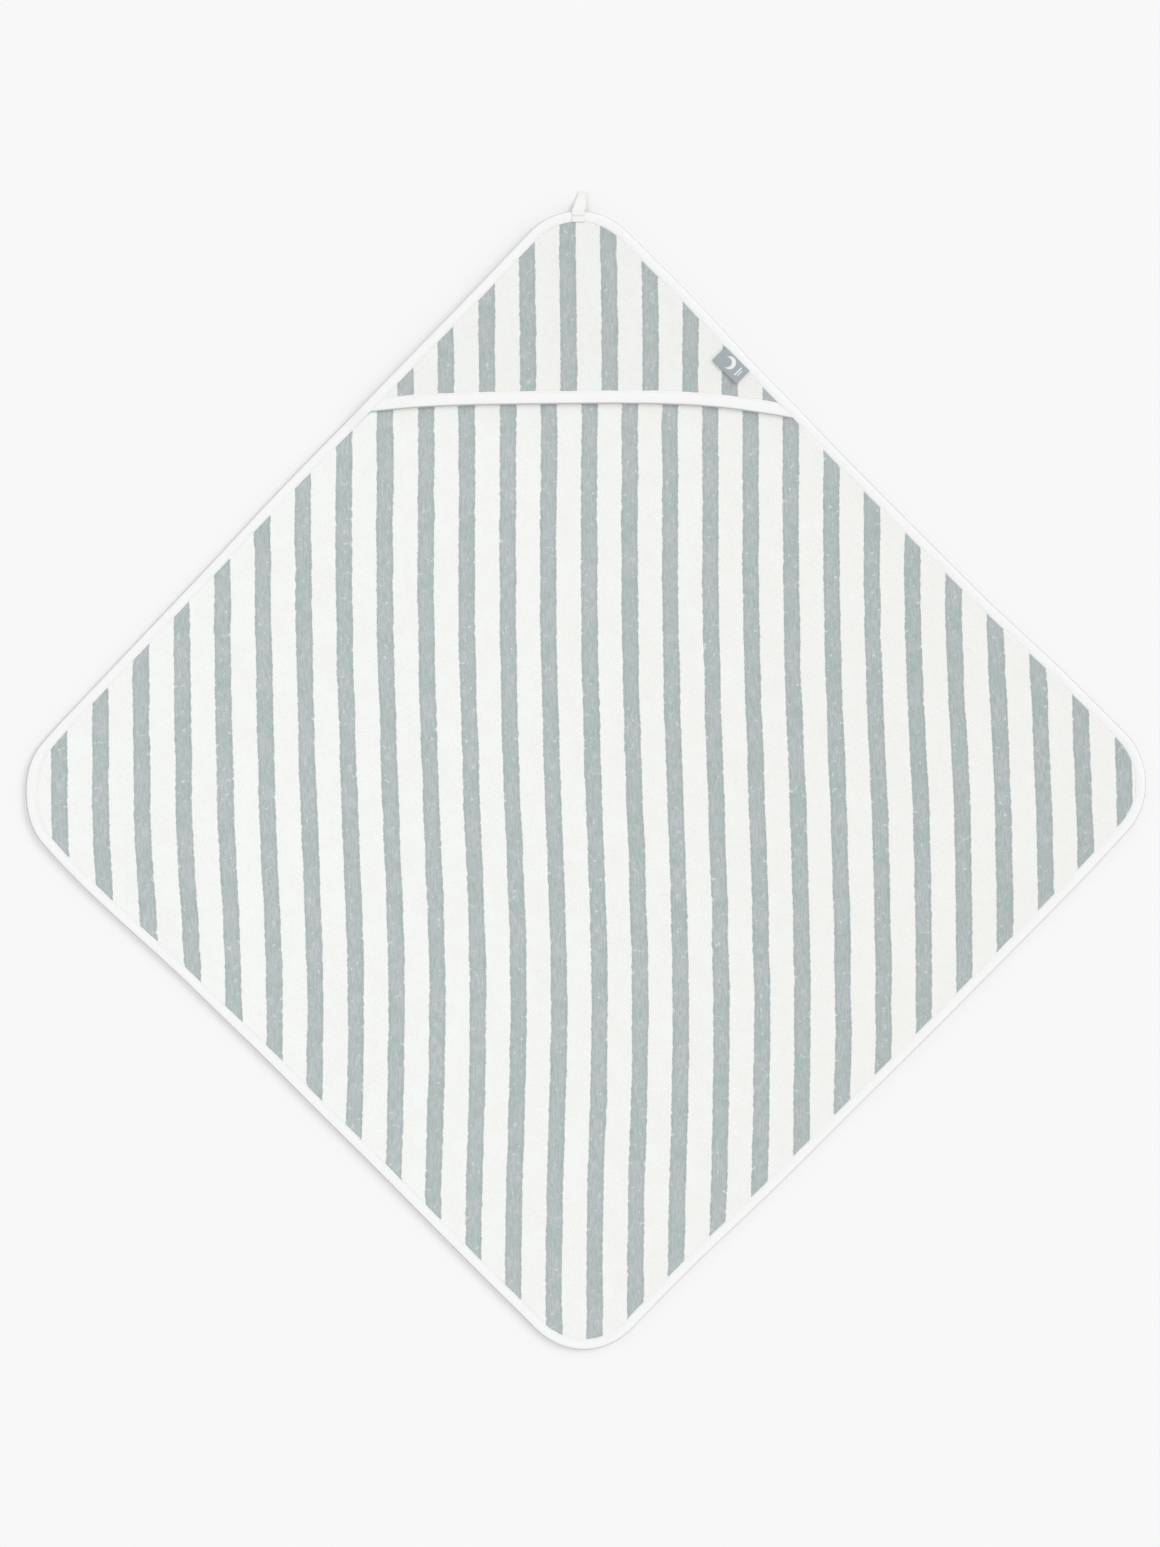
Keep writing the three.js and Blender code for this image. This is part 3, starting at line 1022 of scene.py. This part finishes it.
loop_spacing = 0.0009
loop_section_steps = 28
loop_edge_squareness, loop_face_squareness = 0.35, 0.55
loop_step = 0.0002
loop_bm = tape_grid(loop_length, loop_spacing, loop_section_steps)
for vert in loop_bm.verts:
    loop_distance, section_turn = vert.co.x, vert.co.y * 2 * math.pi
    spot = loop_path(loop_distance)
    travel = loop_path(loop_distance + loop_step) - loop_path(loop_distance - loop_step)
    travel.normalize()
    share = smooth((spot.x - tip_y) / loop_leg)
    half_width = loop_width / 2 * (1 - loop_narrowing * share)
    side = math.copysign(abs(math.cos(section_turn)) ** loop_edge_squareness, math.cos(section_turn))
    face = math.copysign(abs(math.sin(section_turn)) ** loop_face_squareness, math.sin(section_turn))
    lift = face * loop_thickness / 2
    lean = loop_aside + loop_lean * max(spot.x - tip_y, 0)
    vert.co = (side * half_width + lean, spot.x - lift * travel.y, spot.y + lift * travel.x)
close_tube(loop_bm)
tape_loop = finish_piece(loop_bm, "tape_loop", ivory_tape)
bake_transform(tape_loop)
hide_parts("hanging_loop")

# ---------------------------------------------------------------------------------------------
# The bar tack is a close zigzag of white thread across the loop's front end, which holds it to
# the binding.

tack_low, tack_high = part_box("loop_bar_tack")
tack_stitches = 17
tack_slant = 0.00025
tack_margin = 0.0005
tack_side_margin = 0.0007
tack_height = loop_top + loop_thickness / 2 + thread_radius / 3
tack_bm = bmesh.new()
for index in range(tack_stitches):
    share = (index + 0.5) / tack_stitches - 0.5
    tack_x = loop_aside + share * (loop_width - 2 * tack_side_margin)
    slant = tack_slant if index % 2 else -tack_slant
    add_stitch(
        tack_bm,
        Vector((tack_x - slant, tack_low[1] + tack_margin, tack_height)),
        Vector((tack_x + slant, tack_high[1] - tack_margin, tack_height)),
    )
bar_tack = finish_piece(tack_bm, "bar_tack", thread_white)
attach(bar_tack, "towel")
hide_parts("loop_bar_tack")

# ---------------------------------------------------------------------------------------------
# The side label is a woven ribbon folded in two, with both ends caught in the seam beside the
# hood. It lies on the hood, grey-blue, with a plain crescent and two bars woven in white.

label_low, label_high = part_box("side_label")
label_length, label_reach, label_thickness = 0.030, 0.017, 0.0008
label_middle = Vector(((label_low[0] + label_high[0]) / 2, (label_low[1] + label_high[1]) / 2))
label_slide = 0.0010
label_push = 0.0015
label_spacing = 0.0007
label_fold_round = 0.0007
label_fold_thinness = 0.25
label_curl = 0.0006
label_dip, label_dip_reach = 0.0009, 0.0025
label_wave, label_wave_size = 0.00025, 0.012
seam_direction = Vector((1, -1)) / math.sqrt(2)
seam_inwards = Vector((-1, -1)) / math.sqrt(2)


def soft_patch(length, width, spacing):
    """A closed flat patch about the origin, with z = 0 below and z = 1 above, and its map."""
    bm = bmesh.new()
    bmesh.ops.create_grid(
        bm, x_segments=round(length / spacing), y_segments=round(width / spacing), size=0.5
    )
    for vert in bm.verts:
        vert.co = (vert.co.x * length, vert.co.y * width, 0)
    add_upper_side(bm)
    tape_map = bm.loops.layers.uv.new("tape")
    for face in bm.faces:
        for loop in face.loops:
            loop[tape_map].uv = loop.vert.co.xy
    return bm


label_blue, label_tree, label_shader = new_material(
    "woven_label", Roughness=0.7, Sheen_Weight=0.05, Specular_IOR_Level=0.25
)
label_place = add_node(label_tree, "UVMap", {"uv_map": "tape"}).outputs["UV"]
label_weave = place_group(
    label_tree, weave_group, Place=label_place, Along=math.pi / 0.0003, Across=math.pi / 0.0005
)
label_axes = add_node(label_tree, "SeparateXYZ", Vector=label_place)
label_x, label_y = label_axes.outputs["X"], label_axes.outputs["Y"]


def label_within(distance, reach):
    """1 at places on the label nearer than reach, and 0 past it, with an edge one thread wide."""
    return remap(label_tree, distance, reach - 0.0001, reach + 0.0001, 1.0, 0.0)


def label_away(axis, middle):
    """How far a place on the label is from the middle of a figure, along one axis."""
    return math_node(label_tree, "ABSOLUTE", math_node(label_tree, "SUBTRACT", axis, middle))


def label_bar(middle_x, middle_y, half_length, half_height):
    """1 inside a plain bar on the label, and 0 outside."""
    in_x = label_within(label_away(label_x, middle_x), half_length)
    in_y = label_within(label_away(label_y, middle_y), half_height)
    return math_node(label_tree, "MULTIPLY", in_x, in_y)


def label_disc(middle_x, middle_y, radius):
    """1 inside a disc on the label, and 0 outside."""
    from_x, from_y = label_away(label_x, middle_x), label_away(label_y, middle_y)
    square_x = math_node(label_tree, "MULTIPLY", from_x, from_x)
    square_y = math_node(label_tree, "MULTIPLY", from_y, from_y)
    from_both = math_node(label_tree, "SQRT", math_node(label_tree, "ADD", square_x, square_y))
    return label_within(from_both, radius)


label_moon = math_node(
    label_tree, "SUBTRACT",
    label_disc(-0.0026, 0.0008, 0.0058), label_disc(-0.0048, -0.0006, 0.0046), clamp=True,
)
long_bar = label_bar(0.0082, 0.0006, 0.0006, 0.0046)
short_bar = label_bar(0.0104, 0.0006, 0.0004, 0.0030)
label_bars = math_node(label_tree, "MAXIMUM", long_bar, short_bar)
label_mark = math_node(label_tree, "MAXIMUM", label_moon, label_bars)
# Painted shade: the label's ground is darker between its threads.
label_ground = mix_colours(
    label_tree, label_weave.outputs["Height"], (0.335, 0.378, 0.398, 1), (0.400, 0.448, 0.470, 1)
)
label_tree.links.new(
    mix_colours(label_tree, label_mark, label_ground, (0.84, 0.84, 0.82, 1)),
    label_shader.inputs["Base Color"],
)
roughen(label_tree, label_shader, label_weave.outputs["Height"], 0.5, 0.00015)

label_bm = soft_patch(label_length, label_reach, label_spacing)
for vert in label_bm.verts:
    along, across, upper_side = vert.co
    from_seam = label_reach / 2 - across
    fold = 1 - smooth((from_seam - label_reach + label_fold_round) / label_fold_round) ** 2
    side = 0.5 if upper_side > 0.5 else -0.5
    side *= label_fold_thinness + (1 - label_fold_thinness) * fold
    curl = label_curl * (from_seam / label_reach) ** 2
    curl -= label_dip * (1 - smooth(from_seam / label_dip_reach))
    place = Vector((along / label_wave_size, across / label_wave_size, 3.0))
    wave = label_wave * noise.noise(place)
    flat = label_middle + seam_direction * (along + label_slide)
    flat += seam_inwards * (label_push - across)
    height = label_low[2] + label_thickness * (0.5 + side) + curl + wave * from_seam / label_reach
    vert.co = (flat.x, flat.y, height)
folded_label = finish_piece(label_bm, "folded_label", label_blue)
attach(folded_label, "label")
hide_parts("side_label")

# ---------------------------------------------------------------------------------------------
# The care label is a blank piece of white satin ribbon. It is sewn flat on the towel's back, near
# the lower right edge, and lies in the hollow that it presses into the pile.

satin_white, satin_tree, satin_shader = new_material(
    "white_satin", Roughness=0.35, Sheen_Weight=0.1, Specular_IOR_Level=0.5
)
satin_place = add_node(satin_tree, "UVMap", {"uv_map": "tape"}).outputs["UV"]
satin_weave = place_group(
    satin_tree, weave_group, Place=satin_place, Along=math.pi / 0.0008, Across=math.pi / 0.0002
)
satin_bright, satin_shade = (0.88, 0.88, 0.87, 1), (0.80, 0.80, 0.79, 1)
satin_tree.links.new(
    mix_colours(satin_tree, satin_weave.outputs["Slub"], satin_bright, satin_shade),
    satin_shader.inputs["Base Color"],
)
roughen(satin_tree, satin_shader, satin_weave.outputs["Height"], 0.3, 0.0001)

care_spacing = 0.001
care_wave, care_wave_size = 0.00008, 0.008
care_bm = soft_patch(care_length, care_width, care_spacing)
for vert in care_bm.verts:
    along, across, upper_side = vert.co
    flat = care_middle + outwards * along + leftwards * across
    place = Vector((along / care_wave_size, across / care_wave_size, 9.0))
    soft = care_wave * noise.noise(place)
    vert.co = (*laid(flat.x, flat.y), care_low[2] + care_thickness * upper_side + soft)
satin_label = finish_piece(care_bm, "satin_label", satin_white)
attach(satin_label, "towel")
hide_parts("care_label")
